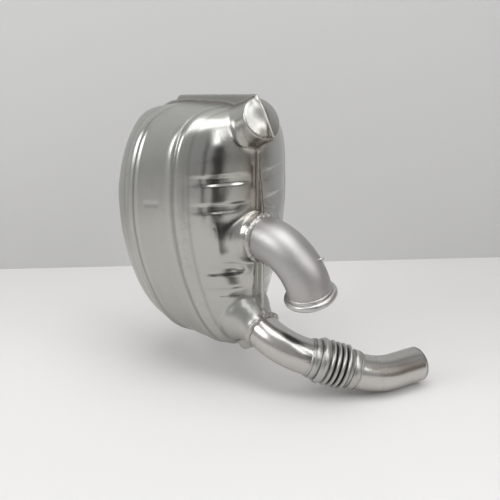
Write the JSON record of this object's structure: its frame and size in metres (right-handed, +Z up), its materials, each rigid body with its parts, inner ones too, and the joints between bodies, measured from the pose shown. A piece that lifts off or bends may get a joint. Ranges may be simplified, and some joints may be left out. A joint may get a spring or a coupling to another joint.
{
  "type": "exhaust muffler",
  "caption": "Twin-shell exhaust muffler with a seam flange, a clamp-on elbow inlet and an outlet pipe with bellows and a curved tail.",
  "frame": {"origin": "centre of the inlet mouth, at the free face of the clamp ring on the elbow", "axes": "+X out of the body past the necks, square to the near end wall; +Y square to the seam flange, towards the side the tail turns to; +Z up, with the crown and its web of flange on top"},
  "size_m": [0.4032, 0.2927, 0.41],
  "materials": {
    "shell_steel": "matt stainless sheet",
    "elbow_steel": "bead blasted stainless",
    "ring_steel": "turned stainless",
    "pipe_steel": "polished stainless tube",
    "bellows_steel": "bright thin stainless",
    "weld_metal": "rough weld",
    "inner_steel": "plain sheet",
    "wool": "basalt wool"
  },
  "bodies": {
    "root": {"left_shell": "shell_steel", "right_shell": "shell_steel", "inlet_elbow": "elbow_steel", "inlet_ring": "ring_steel", "locating_pin": "ring_steel", "inlet_neck_weld": "weld_metal", "ring_weld": "weld_metal", "outlet_neck_weld": "weld_metal", "front_cuff_weld": "weld_metal", "rear_cuff_weld": "weld_metal", "outlet_bend": "pipe_steel", "tail_tube": "pipe_steel", "bellows": "bellows_steel", "bellows_front_collar": "bellows_steel", "bellows_rear_collar": "bellows_steel", "bellows_liner": "inner_steel", "front_baffle": "inner_steel", "rear_baffle": "inner_steel", "inlet_tube": "inner_steel", "outlet_tube": "inner_steel", "transfer_tube": "inner_steel", "absorbing_wool": "wool"}
  },
  "joints": []
}
